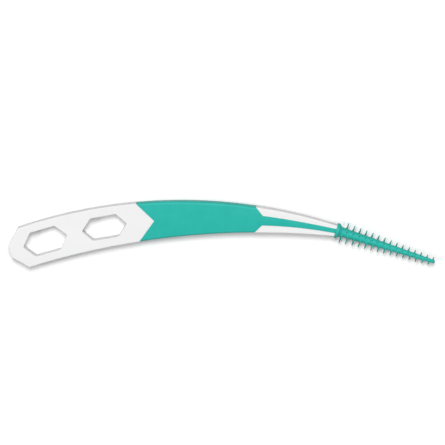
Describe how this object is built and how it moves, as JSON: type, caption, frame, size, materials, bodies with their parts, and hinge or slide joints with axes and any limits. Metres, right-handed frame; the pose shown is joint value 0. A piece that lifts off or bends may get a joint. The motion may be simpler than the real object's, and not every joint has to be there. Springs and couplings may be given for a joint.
{
  "type": "rubber interdental pick",
  "caption": "Curved flat hand-held pick with hexagonal windows, a soft grip and a slender bristled soft tip for cleaning between teeth.",
  "frame": {"origin": "on the back face of the grip, at the crown of the handle's curved centreline", "axes": "+X along the centreline at its crown, towards the bristled tip; +Y in the handle's plane, towards its convex edge; +Z out of the front face"},
  "size_m": [0.0802, 0.0127, 0.0037],
  "materials": {
    "handle_plastic": "white polypropylene with a fine satin mould texture",
    "soft_elastomer": "teal thermoplastic elastomer, soft matte"
  },
  "bodies": {
    "root": {"handle_core": "handle_plastic", "grip_overmould": "soft_elastomer", "neck_strip_front": "soft_elastomer", "neck_strip_back": "soft_elastomer", "pick_sleeve": "soft_elastomer"}
  },
  "joints": []
}
